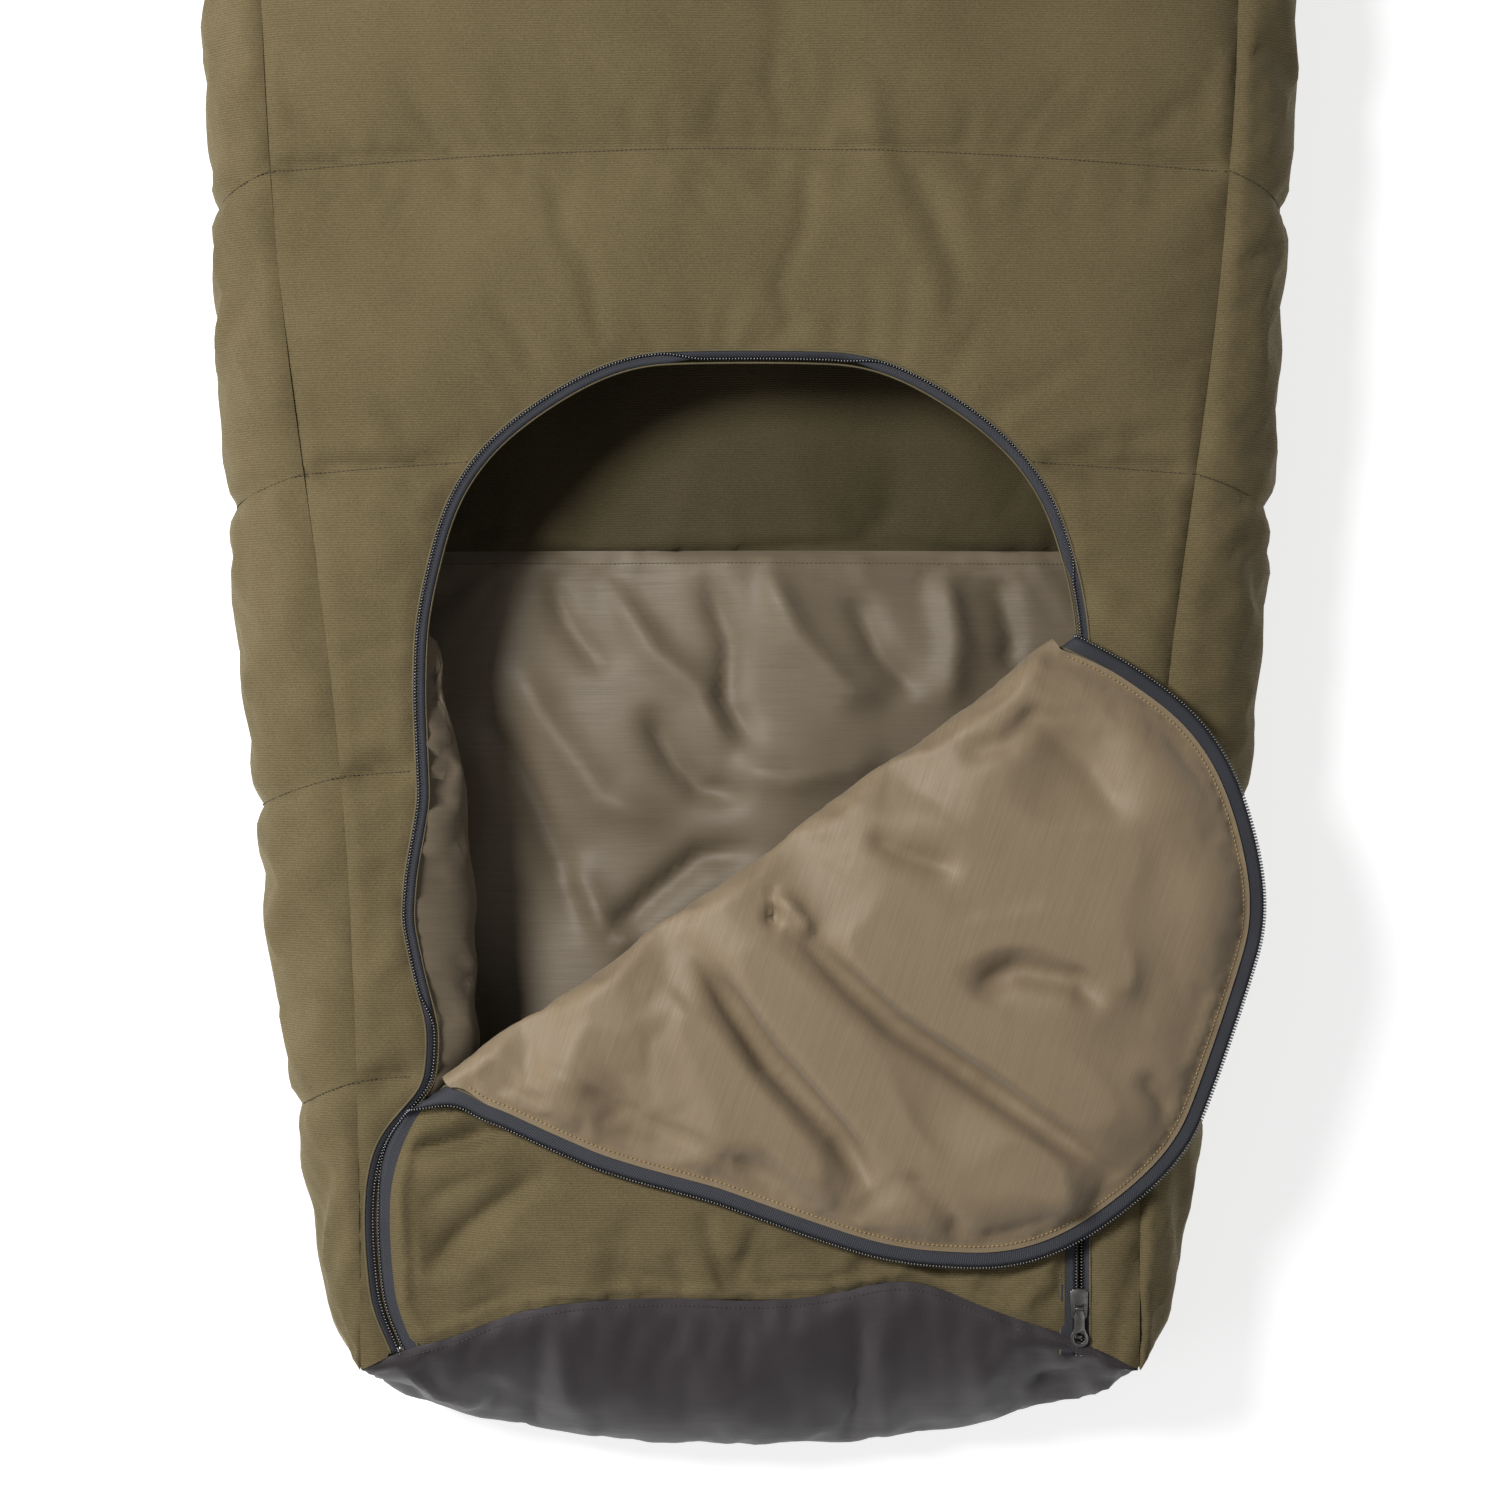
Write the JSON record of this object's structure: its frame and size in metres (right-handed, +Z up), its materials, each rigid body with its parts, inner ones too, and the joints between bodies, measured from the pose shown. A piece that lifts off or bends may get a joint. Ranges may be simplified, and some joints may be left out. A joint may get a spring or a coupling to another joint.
{
  "type": "bivy sack",
  "caption": "Long insulated quilted sack lying flat, with round gussets, a dark foot cap and an arch-shaped zipped foot opening whose flap is folded over slantwise.",
  "frame": {"origin": "middle of the bag's outline on the ground plane, under the back panel", "axes": "+Z up out of the top panel, +Y along the bag towards the mouth, -Y towards the foot cap, +X to the right seen from above with the mouth up"},
  "size_m": [0.7774, 2.1, 0.1383],
  "materials": {
    "outer_fabric": "matte",
    "inner_fabric": "matte",
    "lining_taffeta": "satin",
    "foot_fabric": "satin",
    "wadding": "matte",
    "zip_tape": "matte",
    "zip_coil": "satin",
    "slider_metal": "satin"
  },
  "bodies": {
    "root": {"back_shell": "outer_fabric", "back_padding": "wadding", "back_lining_upper": "inner_fabric", "back_lining_lower": "lining_taffeta", "left_side_shell": "outer_fabric", "left_side_padding": "wadding", "left_side_lining": "lining_taffeta", "right_side_shell": "outer_fabric", "right_side_padding": "wadding", "right_side_lining": "lining_taffeta", "top_shell": "outer_fabric", "top_padding": "wadding", "top_lining": "lining_taffeta", "foot_cap": "foot_fabric", "foot_padding": "wadding", "foot_lining": "lining_taffeta", "mouth_hem": "foot_fabric", "flap_base_shell": "outer_fabric", "flap_base_padding": "wadding", "flap_base_lining": "lining_taffeta", "flap_base_zip_tape": "zip_tape", "flap_base_zip_coil": "zip_coil", "body_zip_tape": "zip_tape", "body_zip_coil": "zip_coil", "zip_end_stops": "slider_metal"},
    "flap": {"flap_shell": "outer_fabric", "flap_padding": "wadding", "flap_lining": "lining_taffeta", "flap_zip_tape": "zip_tape", "flap_zip_coil": "zip_coil"},
    "slider": {"slider_body": "slider_metal", "slider_bridge": "slider_metal"},
    "pull": {"pull_tab": "slider_metal"}
  },
  "joints": [
    {"name": "flap_fold", "type": "hinge", "parent": "root", "child": "flap", "pos_m": [0, -0.648, 0.123], "axis": [-0.813, -0.5823, 0], "range_deg": [0, 179.9]},
    {"name": "slider_slide", "type": "slide", "parent": "root", "child": "slider", "axis": [0, 1, 0], "range_m": [0, 0.465]},
    {"name": "pull_pivot", "type": "hinge", "parent": "slider", "child": "pull", "pos_m": [0.222, -0.94315, 0.12138], "axis": [-1, 0, 0], "range_deg": [0, 120]}
  ]
}
